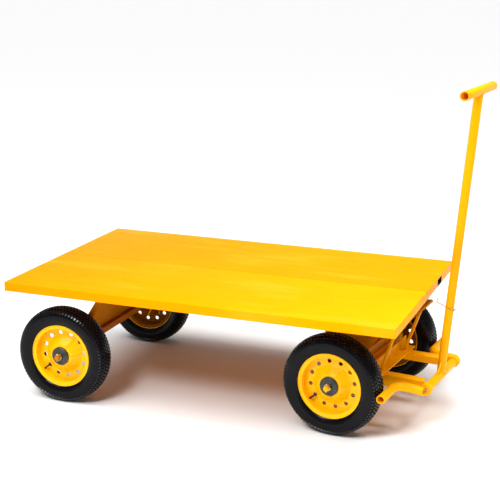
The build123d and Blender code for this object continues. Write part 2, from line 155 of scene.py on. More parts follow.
def yellowEnamel(name, look, gloss=0.30):
    material, tree, shader, place = newMaterial(name)
    clouds = noise(tree, place, look["cloudScale"], 4.0, 0.55)
    colour = ramp(tree, clouds, [(0.25, look["deep"]), (0.48, look["body"]), (0.8, look["pale"])])
    dust = noise(tree, place, look["dustScale"], 6.0, 0.7)
    dustShare = spread(tree, dust, 0.0, look["dustShare"], 0.60, 0.80)
    colour = mixColour(tree, dustShare, colour, look["dust"])
    tree.links.new(colour, shader.inputs["Base Color"])
    sheen = noise(tree, place, look["runScale"], 3.0, 0.6)
    tree.links.new(spread(tree, sheen, gloss - 0.05, gloss + 0.12), shader.inputs["Roughness"])
    shader.inputs["Specular IOR Level"].default_value = look["shine"]
    runs = bump(tree, shader, sheen, look["waviness"], look["wavinessDepth"])
    peel = noise(tree, place, look["peelScale"], 2.0, 0.5)
    bump(tree, shader, peel, look["peel"], look["peelDepth"], runs)
    return material


def shade(deep, body, pale, **changes):
    return dict(enamel, deep=deep, body=body, pale=pale, **changes)


deckLook = shade((0.95, 0.30, 0.0), (0.97, 0.34, 0.0), (1.0, 0.44, 0.004), shine=0.012)
frameLook = shade((0.84, 0.27, 0.0), (0.96, 0.40, 0.0), (1.0, 0.47, 0.001), shine=0.07)
# painted shade: a darker, browner copy of the frame enamel for parts under the deck and in the bogie
underPaintedShadeLook = shade((0.36, 0.10, 0.002), (0.52, 0.17, 0.001), (0.66, 0.24, 0.001), shine=0.05)
# painted shade: the dark finish for the inboard side of the rims
shadeLook = shade((0.12, 0.035, 0.002), (0.20, 0.065, 0.002), (0.30, 0.10, 0.002), shine=0.05)
rimLook = shade((0.90, 0.38, 0.0), (0.98, 0.50, 0.0), (1.0, 0.58, 0.002), cloudScale=9.0, shine=0.16)
# painted shade: near-black finish for the stake socket's dark opening
socketPaintedShadeLook = shade(
    (0.010, 0.006, 0.004), (0.018, 0.010, 0.006), (0.03, 0.018, 0.010), dust=(0.02, 0.012, 0.006)
)
weldPaintLook = dict(frameLook, cloudScale=30.0, dustScale=160.0)

# painted light on the deck: darker and warmer towards the rear and the far half, lighter at the front
deckPaint = {
    "paintedLightShare": 0.70,
    "farShadeShare": 0.75,
    "sheenShare": 0.40,
    "seamHalf": 0.001,
    "rearPaintedShade": (0.96, 0.24, 0.0),
    "frontPaintedLight": (1.0, 0.41, 0.0),
    "farPaintedShade": (0.97, 0.26, 0.0),
    "paintedSheenTint": (1.0, 0.46, 0.030),
    "sheenStreakScale": (0.7, 4.0, 1.0),
}


def yellowDeck():
    # sprayed sheet with painted light: painted shade makes it darker and warmer towards the rear and over the far
    # half, and pale painted highlight streaks lie over it
    material = yellowEnamel("yellowDeckEnamelWithPaintedLight", deckLook, 0.24)
    tree = material.node_tree
    shader = tree.nodes["Principled BSDF"]
    place = tree.nodes["Texture Coordinate"].outputs["Object"]
    apart = newNode(tree, "ShaderNodeSeparateXYZ", {"Vector": place})
    look = deckPaint
    forward = spread(tree, apart.outputs["X"], 0.0, 1.0, deckLow.x, deckHigh.x)
    paintedLight = mixColour(tree, forward, look["rearPaintedShade"], look["frontPaintedLight"])
    farShadeShare = spread(tree, apart.outputs["Y"], 0.0, look["farShadeShare"], -look["seamHalf"], look["seamHalf"])
    paintedLight = mixColour(tree, farShadeShare, paintedLight, look["farPaintedShade"])
    before = shader.inputs["Base Color"].links[0].from_socket
    # painted highlight: pale fore-aft streaks of sheen mixed into the colour
    sheenStreaks = noise(tree, place, 3.0, 3.0, 0.5, look["sheenStreakScale"])
    blended = mixColour(tree, look["paintedLightShare"], before, paintedLight)
    sheenShare = spread(tree, sheenStreaks, 0.0, look["sheenShare"], 0.52, 0.75)
    blended = mixColour(tree, sheenShare, blended, look["paintedSheenTint"])
    tree.links.new(blended, shader.inputs["Base Color"])
    return material


tyreRubberLook = {
    "black": (0.0015, 0.0015, 0.0022),
    "grey": (0.004, 0.004, 0.006),
    "stops": (0.35, 0.75),
    "scale": 18.0,
    "wear": 0.6,
    "gloss": (0.14, 0.22),
    "shine": 0.12,
    "grain": (900.0, 2.0, 0.5),
    "bump": (0.18, 0.0004),
}
treadRubberLook = {
    "black": (0.0015, 0.0015, 0.002),
    "grey": (0.010, 0.010, 0.012),
    "stops": (0.3, 0.8),
    "scale": 40.0,
    "wear": 0.65,
    "gloss": (0.14, 0.30),
    "shine": 0.34,
    "grain": (700.0, 3.0, 0.6),
    "bump": (0.25, 0.0005),
}


def rubber(name, look):
    material, tree, shader, place = newMaterial(name)
    worn = noise(tree, place, look["scale"], 5.0, look["wear"])
    low, high = look["stops"]
    colour = ramp(tree, worn, [(low, look["black"]), (high, look["grey"])])
    tree.links.new(colour, shader.inputs["Base Color"])
    tree.links.new(spread(tree, worn, *look["gloss"]), shader.inputs["Roughness"])
    shader.inputs["Specular IOR Level"].default_value = look["shine"]
    bump(tree, shader, noise(tree, place, *look["grain"]), *look["bump"])
    return material


def metal(name, colour, dark, rough, stretch=None, scale=120.0):
    material, tree, shader, place = newMaterial(name)
    marks = noise(tree, place, scale, 4.0, 0.6, stretch)
    tree.links.new(ramp(tree, marks, [(0.3, dark), (0.7, colour)]), shader.inputs["Base Color"])
    shader.inputs["Metallic"].default_value = 1.0
    tree.links.new(spread(tree, marks, rough - 0.08, rough + 0.12), shader.inputs["Roughness"])
    bump(tree, shader, noise(tree, place, 5 * scale, 2.0, 0.5), 0.12, 0.0003)
    return material


capPaint = {
    "dark": (0.018, 0.022, 0.022),
    "grey": (0.045, 0.050, 0.050),
    "scuff": (0.12, 0.12, 0.11),
    "scale": 90.0,
    "metallic": 0.35,
}


def darkCapPaint():
    look = capPaint
    material, tree, shader, place = newMaterial("darkCapPaint")
    marks = noise(tree, place, look["scale"], 5.0, 0.65)
    colour = ramp(tree, marks, [(0.3, look["dark"]), (0.62, look["grey"]), (0.85, look["scuff"])])
    tree.links.new(colour, shader.inputs["Base Color"])
    shader.inputs["Metallic"].default_value = look["metallic"]
    tree.links.new(spread(tree, marks, 0.28, 0.50), shader.inputs["Roughness"])
    bump(tree, shader, marks, 0.15, 0.0006)
    return material


materials = {
    "deck": yellowDeck(),
    "frame": yellowEnamel("yellowFrameEnamel", frameLook),
    "under": yellowEnamel("yellowEnamelPaintedShade", underPaintedShadeLook, 0.38),
    "rim": yellowEnamel("yellowRimEnamel", rimLook, 0.26),
    "shade": yellowEnamel("rimInsidePaintedShade", shadeLook, 0.45),
    "weld": yellowEnamel("weldPaint", weldPaintLook, 0.36),
    "socketShade": yellowEnamel("socketPaintedShade", socketPaintedShadeLook, 0.6),
    "tyre": rubber("tyreRubber", tyreRubberLook),
    "tread": rubber("treadRubber", treadRubberLook),
    "valve": metal("valveRubber", (0.02, 0.02, 0.02), (0.008, 0.008, 0.008), 0.5),
    "cap": darkCapPaint(),
    "steel": metal("turnedSteel", (0.62, 0.62, 0.64), (0.40, 0.40, 0.42), 0.32, (1.0, 14.0, 1.0)),
    "zinc": metal("zincSteel", (0.72, 0.70, 0.64), (0.48, 0.46, 0.40), 0.36),
    "brass": metal("brassNut", (0.80, 0.58, 0.20), (0.52, 0.34, 0.10), 0.30),
    "gold": metal("yellowZincWire", (0.50, 0.28, 0.05), (0.28, 0.14, 0.025), 0.34),
}
materials["valve"].node_tree.nodes["Principled BSDF"].inputs["Metallic"].default_value = 0.0
print("finishes made:", len(materials))


def newPiece(name, data):
    piece = bpy.data.objects.new(name, data)
    scene.collection.objects.link(piece)
    return piece


def pieceFrom(mesh, name, material, body, replaced=(), smooth=True):
    mesh.name = name
    piece = newPiece(name, mesh)
    if smooth:
        mesh.polygons.foreach_set("use_smooth", [True] * len(mesh.polygons))
    for one in material if isinstance(material, (list, tuple)) else [material]:
        if one.name not in mesh.materials:
            mesh.materials.append(one)
    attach(piece, body)
    if replaced:
        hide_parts(*replaced)
    return piece


def meshFrom(build):
    mesh = bpy.data.meshes.new("work")
    build.to_mesh(mesh)
    build.free()
    return mesh


def onCircle(radius, angle, height):
    return radius * math.cos(angle), radius * math.sin(angle), height


def lathe(outline, segments, depth=None):
    # turns a closed outline of (radius, height) about Z
    build = bmesh.new()
    rings = []
    for step in range(segments):
        angle = math.tau * step / segments
        ring = []
        for radius, height in outline:
            lift = depth(radius, angle) if depth else 0.0
            ring.append(build.verts.new(onCircle(radius, angle, height + lift)))
        rings.append(ring)
    count = len(outline)
    for step in range(segments):
        here, there = rings[step], rings[(step + 1) % segments]
        for k in range(count):
            build.faces.new((here[k], there[k], there[(k + 1) % count], here[(k + 1) % count]))
    bmesh.ops.recalc_face_normals(build, faces=build.faces)
    return build


def roundedOutline(points, radius, steps=4):
    # rounds each corner of a closed outline, as far as its sides allow
    rounded = []
    for index, corner in enumerate(points):
        corner = Vector(corner)
        before = Vector(points[index - 1]) - corner
        after = Vector(points[(index + 1) % len(points)]) - corner
        reach = min(radius, before.length * 0.45, after.length * 0.45)
        start = corner + before.normalized() * reach
        end = corner + after.normalized() * reach
        for step in range(steps + 1):
            share = step / steps
            rounded.append(start.lerp(corner, share).lerp(corner.lerp(end, share), share))
    return [(p.x, p.y) for p in rounded]


def arcThrough(first, middle, last, count):
    # points on the circle through three points
    a, b, c = Vector(first), Vector(middle), Vector(last)
    d = 2 * (a.x * (b.y - c.y) + b.x * (c.y - a.y) + c.x * (a.y - b.y))
    aa, bb, cc = a.length_squared, b.length_squared, c.length_squared
    x = (aa * (b.y - c.y) + bb * (c.y - a.y) + cc * (a.y - b.y)) / d
    y = (aa * (c.x - b.x) + bb * (a.x - c.x) + cc * (b.x - a.x)) / d
    centre = Vector((x, y))
    radius = (a - centre).length
    start = math.atan2(a.y - y, a.x - x)
    middleTurn = (math.atan2(b.y - y, b.x - x) - start) % math.tau
    sweep = (math.atan2(c.y - y, c.x - x) - start) % math.tau
    if middleTurn > sweep:
        sweep -= math.tau
    angles = [start + sweep * k / (count - 1) for k in range(count)]
    return [(x + radius * math.cos(t), y + radius * math.sin(t)) for t in angles]


def bentPath(corners, bendRadius, steps=14):
    # straight runs joined by tangent arcs
    corners = [Vector(c) for c in corners]
    path = [corners[0]]
    for before, corner, after in zip(corners, corners[1:], corners[2:]):
        arriving = (corner - before).normalized()
        leaving = (after - corner).normalized()
        turn = arriving.angle(leaving)
        reach = bendRadius * math.tan(turn / 2)
        inward = (leaving - arriving).normalized()
        centre = corner + inward * (bendRadius / math.cos(turn / 2))
        start = corner - arriving * reach - centre
        axis = arriving.cross(leaving).normalized()
        for step in range(steps + 1):
            path.append(centre + Matrix.Rotation(turn * step / steps, 3, axis) @ start)
    path.append(corners[-1])
    return path


def sweptPipe(path, outerRadius, wall, segments=48, lip=0.0006):
    # a pipe or, with no wall, a rod along a path, its end edges rounded
    build = bmesh.new()
    tangents = []
    for index in range(len(path)):
        first = path[max(index - 1, 0)]
        last = path[min(index + 1, len(path) - 1)]
        tangents.append((last - first).normalized())
    side = tangents[0].orthogonal().normalized()
    frames = []
    for index, tangent in enumerate(tangents):
        if index:
            side = tangents[index - 1].rotation_difference(tangent) @ side
        side = (side - tangent * side.dot(tangent)).normalized()
        frames.append((path[index], tangent, side, tangent.cross(side)))

    def hoop(frameNow, radius, push):
        point, tangent, x, y = frameNow
        angles = [math.tau * k / segments for k in range(segments)]
        middle = point + tangent * push
        return [build.verts.new(middle + (x * math.cos(t) + y * math.sin(t)) * radius) for t in angles]

    def join(one, two):
        for k in range(segments):
            build.faces.new((one[k], one[(k + 1) % segments], two[(k + 1) % segments], two[k]))

    outer = [hoop(frames[0], outerRadius - lip, 0), hoop(frames[0], outerRadius - lip * 0.3, lip * 0.3)]
    outer += [hoop(frames[0], outerRadius, lip)]
    outer += [hoop(frameNow, outerRadius, 0) for frameNow in frames[1:-1]]
    outer += [hoop(frames[-1], outerRadius, -lip), hoop(frames[-1], outerRadius - lip * 0.3, -lip * 0.3)]
    outer += [hoop(frames[-1], outerRadius - lip, 0)]
    for one, two in zip(outer, outer[1:]):
        join(one, two)
    if wall:
        inner = [hoop(frames[0], outerRadius - wall, 0)]
        inner += [hoop(frameNow, outerRadius - wall, 0) for frameNow in frames[1:-1]]
        inner += [hoop(frames[-1], outerRadius - wall, 0)]
        for one, two in zip(inner, inner[1:]):
            join(two, one)
        join(inner[0], outer[0])
        join(outer[-1], inner[-1])
    else:
        build.faces.new(outer[0][::-1])
        build.faces.new(outer[-1])
    bmesh.ops.recalc_face_normals(build, faces=build.faces)
    return build


def applied(piece):
    # the modifiers' result as a plain mesh
    graph = bpy.context.evaluated_depsgraph_get()
    mesh = bpy.data.meshes.new_from_object(piece.evaluated_get(graph))
    old = piece.data
    piece.modifiers.clear()
    piece.data = mesh
    if old.users == 0:
        bpy.data.meshes.remove(old)


def cutBy(piece, name, build):
    tool = newPiece(name, meshFrom(build))
    cut = piece.modifiers.new("cut", "BOOLEAN")
    cut.operation = "DIFFERENCE"
    cut.object = tool
    cut.solver = "EXACT"
    applied(piece)
    bpy.data.objects.remove(tool)


def softened(node, width, material, body, angle=35.0):
    # the CAD node with its doubled points merged and its edges eased
    build = bmesh.new()
    build.from_mesh(frame["nodes"][node].data)
    bmesh.ops.remove_doubles(build, verts=build.verts, dist=1e-5)
    bmesh.ops.dissolve_limit(build, angle_limit=math.radians(0.4), verts=build.verts, edges=build.edges)
    piece = newPiece("work", meshFrom(build))
    ease = piece.modifiers.new("ease", "BEVEL")
    ease.width = width
    ease.segments = 2
    ease.limit_method = "ANGLE"
    ease.angle_limit = math.radians(angle)
    ease.use_clamp_overlap = True
    ease.harden_normals = False
    applied(piece)
    mesh = piece.data
    bpy.data.objects.remove(piece)
    mesh.materials.clear()
    pieceFrom(mesh, node + "_eased", material, body, [node])
    mesh.set_sharp_from_angle(angle=math.radians(angle))


def socketId(tree, label):
    for item in tree.interface.items_tree:
        if item.item_type == "SOCKET" and item.in_out == "INPUT" and item.name == label:
            return item.identifier
    raise KeyError(label)


def makeTree(name, inputs):
    tree = bpy.data.node_groups.new(name, "GeometryNodeTree")
    tree.interface.new_socket("Geometry", in_out="OUTPUT", socket_type="NodeSocketGeometry")
    for label, kind in inputs:
        tree.interface.new_socket(label, in_out="INPUT", socket_type=kind)
    return tree, tree.nodes.new("NodeGroupInput"), tree.nodes.new("NodeGroupOutput")


def mathNode(tree, operation, *values):
    return newNode(tree, "ShaderNodeMath", dict(enumerate(values)), operation=operation).outputs[0]


def combine(tree, x, y, z):
    return newNode(tree, "ShaderNodeCombineXYZ", {0: x, 1: y, 2: z}).outputs[0]


def endTree(tree, outputNode, geometry, material):
    real = newNode(tree, "GeometryNodeRealizeInstances", {"Geometry": geometry}).outputs["Geometry"]
    painted = newNode(tree, "GeometryNodeSetMaterial", {"Geometry": real, "Material": material})
    tree.links.new(painted.outputs["Geometry"], outputNode.inputs["Geometry"])


def treadTree():
    labels = ("Radius", "Place", "Phase", "Length", "Width", "Height", "Lean", "Skew", "Chevron")
    sockets = [(label, "NodeSocketFloat") for label in labels] + [("Count", "NodeSocketInt")]
    tree, given, result = makeTree("treadRow", sockets)
    radius, place, phase, length, width, height, lean, skew, chevron, count = given.outputs[:10]
    size = combine(tree, height, length, width)
    block = newNode(tree, "GeometryNodeMeshCube", {"Size": size, "Vertices Z": 3}).outputs["Mesh"]
    # the top of a block is smaller than its foot, and its middle is pushed forward
    where = newNode(tree, "GeometryNodeInputPosition").outputs["Position"]
    apart = newNode(tree, "ShaderNodeSeparateXYZ", {"Vector": where}).outputs
    isTop = mathNode(tree, "GREATER_THAN", apart["X"], 0.0)
    taper = mathNode(tree, "SUBTRACT", 1.0, mathNode(tree, "MULTIPLY", isTop, treadLook["taper"]))
    push = mathNode(tree, "MULTIPLY", mathNode(tree, "ABSOLUTE", apart["Z"]), chevron)
    y = mathNode(tree, "ADD", mathNode(tree, "MULTIPLY", apart["Y"], taper), push)
    z = mathNode(tree, "MULTIPLY", apart["Z"], taper)
    spot = combine(tree, apart["X"], y, z)
    shaped = newNode(tree, "GeometryNodeSetPosition", {"Geometry": block, "Position": spot})
    # points round the tyre
    ring = newNode(tree, "GeometryNodeMeshLine", {"Count": count}).outputs["Mesh"]
    index = newNode(tree, "GeometryNodeInputIndex").outputs[0]
    share = mathNode(tree, "DIVIDE", index, count)
    turn = mathNode(tree, "ADD", mathNode(tree, "MULTIPLY", share, math.tau), phase)
    x = mathNode(tree, "MULTIPLY", mathNode(tree, "COSINE", turn), radius)
    y = mathNode(tree, "MULTIPLY", mathNode(tree, "SINE", turn), radius)
    spot = combine(tree, x, y, place)
    moved = newNode(tree, "GeometryNodeSetPosition", {"Geometry": ring, "Position": spot})
    blocks = newNode(tree, "GeometryNodeInstanceOnPoints", {
        "Points": moved.outputs["Geometry"], "Instance": shaped.outputs["Geometry"],
        "Rotation": combine(tree, 0.0, 0.0, turn),
    }).outputs["Instances"]
    for rotation in (combine(tree, 0.0, lean, 0.0), combine(tree, skew, 0.0, 0.0)):
        feeds = {"Instances": blocks, "Rotation": rotation}
        blocks = newNode(tree, "GeometryNodeRotateInstances", feeds).outputs["Instances"]
    endTree(tree, result, blocks, materials["tread"])
    return tree


def weldTree():
    tree, given, result = makeTree("weldBead", [
        ("Geometry", "NodeSocketGeometry"), ("Radius", "NodeSocketFloat"), ("Spacing", "NodeSocketFloat"),
        ("Seed", "NodeSocketInt"),
    ])
    geometry, radius, spacing, seed = given.outputs[:4]
    line = newNode(tree, "GeometryNodeMeshToCurve", {"Mesh": geometry}).outputs["Curve"]
    even = newNode(tree, "GeometryNodeResampleCurve", {"Curve": line, "Length": spacing}, mode="LENGTH")
    ripple = newNode(tree, "GeometryNodeMeshUVSphere", {"Segments": 8, "Rings": 5, "Radius": radius})
    facing = newNode(tree, "GeometryNodeInputTangent").outputs["Tangent"]
    align = newNode(tree, "FunctionNodeAlignRotationToVector", {"Vector": facing}, axis="Z")
    low, high = weldLook["ripple"]
    feeds = {0: low, 1: high, "Seed": seed}
    vary = newNode(tree, "FunctionNodeRandomValue", feeds, data_type="FLOAT_VECTOR")
    beads = newNode(tree, "GeometryNodeInstanceOnPoints", {
        "Points": even.outputs["Curve"], "Instance": ripple.outputs["Mesh"],
        "Rotation": align.outputs["Rotation"], "Scale": vary.outputs[0],
    })
    endTree(tree, result, beads.outputs["Instances"], materials["weld"])
    return tree


def grown(tree, settings, mesh=None):
    # runs a tree once and gives its plain mesh
    base = bpy.data.objects.new("grow", mesh or bpy.data.meshes.new("grow"))
    scene.collection.objects.link(base)
    modifier = base.modifiers.new("grow", "NODES")
    modifier.node_group = tree
    for label, value in settings.items():
        modifier[socketId(tree, label)] = value
    graph = bpy.context.evaluated_depsgraph_get()
    made = bpy.data.meshes.new_from_object(base.evaluated_get(graph))
    base.modifiers.remove(modifier)
    bpy.data.objects.remove(base)
    return made


tyreLook = {
    "seatRadius": 0.118,
    "flangeRadius": 0.131,
    "seatHalf": 0.0328,
    "bulgeRadius": 0.1605,
    "bulgeHalf": 0.0480,
    "shoulderRadius": 0.1885,
    "shoulderHalf": 0.0415,
    "crownRadius": 0.1962,
    "segments": 144,
    "rings": [
        (0.1365, 0.0008, 0.0016), (0.143, 0.0006, 0.0012),
        (0.1725, 0.0007, 0.0015), (0.178, 0.0005, 0.0010),
    ],
    "inside": [(0.1225, 0.020), (0.150, 0.0385), (0.180, 0.030)],
    "insideCrown": 0.183,
}
treadLook = {
    "columns": ("Place", "Radius", "Phase", "Length", "Width", "Lean", "Skew", "Chevron"),
    "rows": [
        (0.0, 0.1970, 0.0, 0.0105, 0.0095, 0.0, 0.0, 0.55),
        (0.0115, 0.1967, 0.5, 0.0100, 0.0100, -0.10, 0.35, 0.3),
        (0.0230, 0.1949, 0.0, 0.0100, 0.0100, -0.24, -0.30, -0.3),
        (0.0340, 0.1916, 0.5, 0.0110, 0.0095, -0.42, 0.25, 0.2),
        (0.0427, 0.1850, 0.25, 0.0075, 0.0110, -0.95, 0.0, 0.0),
    ],
    "count": 84,
    "height": 0.0056,
    "taper": 0.22,
}


def tyreOutline(look):
    seat, flange, bead = look["seatRadius"], look["flangeRadius"], look["seatHalf"]
    shoulder = (look["shoulderRadius"], look["shoulderHalf"])
    half = [(seat, bead - 0.011), (seat, bead), (flange, bead), (flange + 0.0012, bead + 0.0045)]
    side = arcThrough(
        (flange + 0.0015, bead + 0.005), (look["bulgeRadius"], look["bulgeHalf"]), shoulder, 40
    )
    for radius, height in side:
        for ringRadius, rise, width in look["rings"]:
            height += rise * math.exp(-(((radius - ringRadius) / (0.6 * width)) ** 2))
        half.append((radius, height))
    crown = arcThrough(shoulder, (look["crownRadius"], 0), (shoulder[0], -shoulder[1]), 33)
    half += crown[1:17]
    mirrored = [(radius, -height) for radius, height in reversed(half[:-1])]
    inside = [(radius, -height) for radius, height in look["inside"]] + [(look["insideCrown"], 0.0)]
    return half + mirrored + inside + look["inside"][::-1]


def tyreMesh(tree):
    build = lathe(tyreOutline(tyreLook), tyreLook["segments"])
    mesh = meshFrom(build)
    mesh.materials.append(materials["tyre"])
    mesh.materials.append(materials["tread"])
    joined = bmesh.new()
    joined.from_mesh(mesh)
    count = treadLook["count"]
    for values in treadLook["rows"]:
        row = dict(zip(treadLook["columns"], values), Count=count, Height=treadLook["height"])
        row["Phase"] *= math.tau / count
        for side in (1,) if row["Place"] == 0 else (1, -1):
            settings = dict(row)
            for key in ("Place", "Lean", "Skew"):
                settings[key] *= side
            blocks = grown(tree, settings)
            before = len(joined.faces)
            joined.from_mesh(blocks)
            joined.faces.ensure_lookup_table()
            for face in joined.faces[before:]:
                face.material_index = 1
            bpy.data.meshes.remove(blocks)
    joined.to_mesh(mesh)
    joined.free()
    return mesh


rimShape = {
    "flangeRadius": 0.131,
    "seatRadius": 0.118,
    "barrelRadius": 0.115,
    "half": 0.039,
    "bead": 0.006,
    "wall": 0.003,
    "hubRadius": 0.030,
    "hubHeight": 0.034,
    "coneInner": 0.044,
    "coneOuter": 0.080,
    "ringHeight": 0.004,
    "holes": 12,
    "holeCircle": 0.092,
    "holeRadius": 0.0085,
    "holeClock": math.radians(9),
    "ribs": 8,
    "ribClock": math.radians(10),
    "ribHeight": 0.0052,
    "ribHalfWidth": 0.0048,
    "segments": 240,
}


def smoothStep(value, low, high):
    share = min(max((value - low) / (high - low), 0.0), 1.0)
    return share * share * (3 - 2 * share)


def discHeight(radius, look):
    share = smoothStep(radius, look["coneInner"], look["coneOuter"])
    linear = min(max((radius - look["coneInner"]) / (look["coneOuter"] - look["coneInner"]), 0.0), 1.0)
    share = 0.4 * share + 0.6 * linear
    return look["hubHeight"] + (look["ringHeight"] - look["hubHeight"]) * share


def ribLift(radius, angle, look):
    pitch = math.tau / look["ribs"]
    off = (angle - look["ribClock"] + pitch / 2) % pitch - pitch / 2
    side = abs(off) * radius / look["ribHalfWidth"]
    window = smoothStep(radius, 0.041, 0.050) * (1 - smoothStep(radius, 0.074, 0.086))
    return look["ribHeight"] * window * math.exp(-(side ** 2) * 1.4)


def rimMesh():
    look = rimShape
    edge, wall, seat = look["half"], look["wall"], look["half"] - look["bead"]
    lip = look["flangeRadius"] - wall
    flange, seatRadius, inner = look["flangeRadius"], look["seatRadius"], look["barrelRadius"]
    section = [
        (inner, -seat - wall), (lip, -seat - wall), (lip, -edge), (flange, -edge), (flange, -seat),
        (seatRadius, -seat), (seatRadius, seat), (flange, seat), (flange, edge), (lip, edge),
        (lip, seat + wall), (inner, seat + wall), (inner, 0.002),
    ]
    barrel = meshFrom(lathe(roundedOutline(section, 0.0014, 3), 160))
    steps = 44
    last = inner + 0.0005
    radii = [look["hubRadius"] + (last - look["hubRadius"]) * k / steps for k in range(steps + 1)]
    top = [(radius, discHeight(radius, look)) for radius in radii]
    under = [(radius, height - wall) for radius, height in reversed(top)]
    disc = lathe(top + under, look["segments"], lambda radius, angle: ribLift(radius, angle, look))
    discPiece = newPiece("disc", meshFrom(disc))
    drill = bmesh.new()
    for k in range(look["holes"]):
        angle = math.tau * k / look["holes"] + look["holeClock"]
        bmesh.ops.create_cone(
            drill, cap_ends=True, segments=28, radius1=look["holeRadius"], radius2=look["holeRadius"],
            depth=0.03, matrix=Matrix.Translation(onCircle(look["holeCircle"], angle, 0.002)),
        )
    cutBy(discPiece, "drill", drill)
    both = bmesh.new()
    both.from_mesh(barrel)
    both.from_mesh(discPiece.data)
    mesh = meshFrom(both)
    bpy.data.objects.remove(discPiece)
    bpy.data.meshes.remove(barrel)
    # painted shade: the side that faces the axle takes the dark painted-shade finish
    for face in mesh.polygons:
        radius = face.center.xy.length
        inboard = face.center.z < discHeight(radius, look) - 0.5 * wall
        face.material_index = 1 if radius < lip and inboard else 0
    return mesh


capLook = {
    "radius": 0.0375,
    "foot": 0.034,
    "face": 0.044,
    "bore": 0.0115,
    "wall": 0.002,
}


def capMesh():
    look = capLook
    r, foot, face, bore, wall = (look[key] for key in ("radius", "foot", "face", "bore", "wall"))
    outline = [
        (bore, face - wall), (r - 0.006, face - wall), (r - wall, face - 0.005), (r - wall, foot),
        (r, foot),
        (r, face - 0.0032), (r - 0.0032, face), (r - 0.0095, face), (r - 0.0105, face - 0.0008),
        (r - 0.0165, face - 0.0008), (r - 0.0175, face), (bore, face),
    ]
    return meshFrom(lathe(roundedOutline(outline, 0.0006, 2), 72))


nutLook = {
    "flats": 0.026,
    "height": 0.014,
    "bore": 0.0098,
    "hexShare": 0.62,
    "crownRadius": 0.0112,
    "slots": 6,
}


def castleNutMesh():
    # a chamfered hexagon with a slotted crown
    look = nutLook
    build = bmesh.new()
    hexHeight = look["height"] * look["hexShare"]
    corner = look["flats"] / math.sqrt(3)
    count = 48
    rings = []
    for height, share in ((0.0, 0.94), (0.0007, 1.0), (hexHeight - 0.0009, 1.0), (hexHeight, 0.93)):
        ring = []
        for k in range(count):
            angle = math.tau * k / count
            local = (angle + math.pi / 6) % (math.pi / 3) - math.pi / 6
            radius = min(look["flats"] / 2 / math.cos(local), corner * share)
            ring.append(build.verts.new(onCircle(radius, angle, height)))
        rings.append(ring)
    for height in (hexHeight, 0.0):
        turns = [math.tau * k / count for k in range(count)]
        rings.append([build.verts.new(onCircle(look["bore"], turn, height)) for turn in turns])
    for one, two in zip(rings, rings[1:] + rings[:1]):
        for k in range(count):
            build.faces.new((one[k], one[(k + 1) % count], two[(k + 1) % count], two[k]))
    bore, outer, low, high = look["bore"], look["crownRadius"], hexHeight - 0.0005, look["height"]
    crown = ((bore, low), (outer, low), (outer, high - 0.0006), (outer - 0.0006, high), (bore, high))
    for k in range(look["slots"]):
        middle = math.tau * (k + 0.5) / look["slots"]
        half = math.tau / look["slots"] * 0.33
        angles = [middle + half * (2 * j / 4 - 1) for j in range(5)]
        layers = []
        for radius, height in crown:
            layers.append([build.verts.new(onCircle(radius, angle, height)) for angle in angles])
        for one, two in zip(layers, layers[1:] + layers[:1]):
            for j in range(4):
                build.faces.new((one[j], one[j + 1], two[j + 1], two[j]))
        build.faces.new([layer[0] for layer in layers][::-1])
        build.faces.new([layer[-1] for layer in layers])
    bmesh.ops.recalc_face_normals(build, faces=build.faces)
    return meshFrom(build)


splitLook = {
    "wire": 0.0011,
    "eye": 0.0042,
    "length": 0.034,
    "spread": 0.006,
}


def splitPinMesh():
    # a folded wire: an eye at one end and two legs bent apart at the other
    look = splitLook
    half, w, bow = look["length"] / 2, look["wire"], look["eye"]
    build = bmesh.new()
    for side in (1, -1):
        line = [(bow * math.sin(t), half - bow + bow * math.cos(t)) for t in (0.0, 0.6, 1.2, 1.8, 2.3)]
        line += [(w * 0.75, half - 2.4 * bow), (w * 0.75, -half * 0.55)]
        for s in (0.2, 0.6, 1.0):
            line.append((w + look["spread"] * s, -half * (0.55 + 0.4 * s ** 0.6)))
        points = [Vector((0, side * y, z)) for y, z in line]
        part = meshFrom(sweptPipe(points, w, 0, 8, 0.0003))
        build.from_mesh(part)
        bpy.data.meshes.remove(part)
    return meshFrom(build)


def wheelSpace(name):
    # the wheel's own space: X forward, Z outboard, the tyre's middle at zero
    joint = joints[name + "_wheel_spin"]
    axis = Vector(joint["axis"]).normalized()
    outboard = axis * (-1 if "near" in name else 1)
    forward = axis.cross(up).normalized()
    space = Matrix((forward, outboard.cross(forward), outboard)).transposed().to_4x4()
    return Matrix.Translation(Vector(joint["pos_m"])) @ space


wheelNames = ["front_near", "front_far", "rear_near", "rear_far"]
axleEnds = {
    "nut": {"place": 0.0445, "turn": (0.3, 4, "Z"), "paint": "brass", "slot": "brass"},
    "pin": {"place": 0.0625, "turn": (math.pi / 2, 4, "X"), "paint": "zinc", "slot": "zinc_steel"},
}


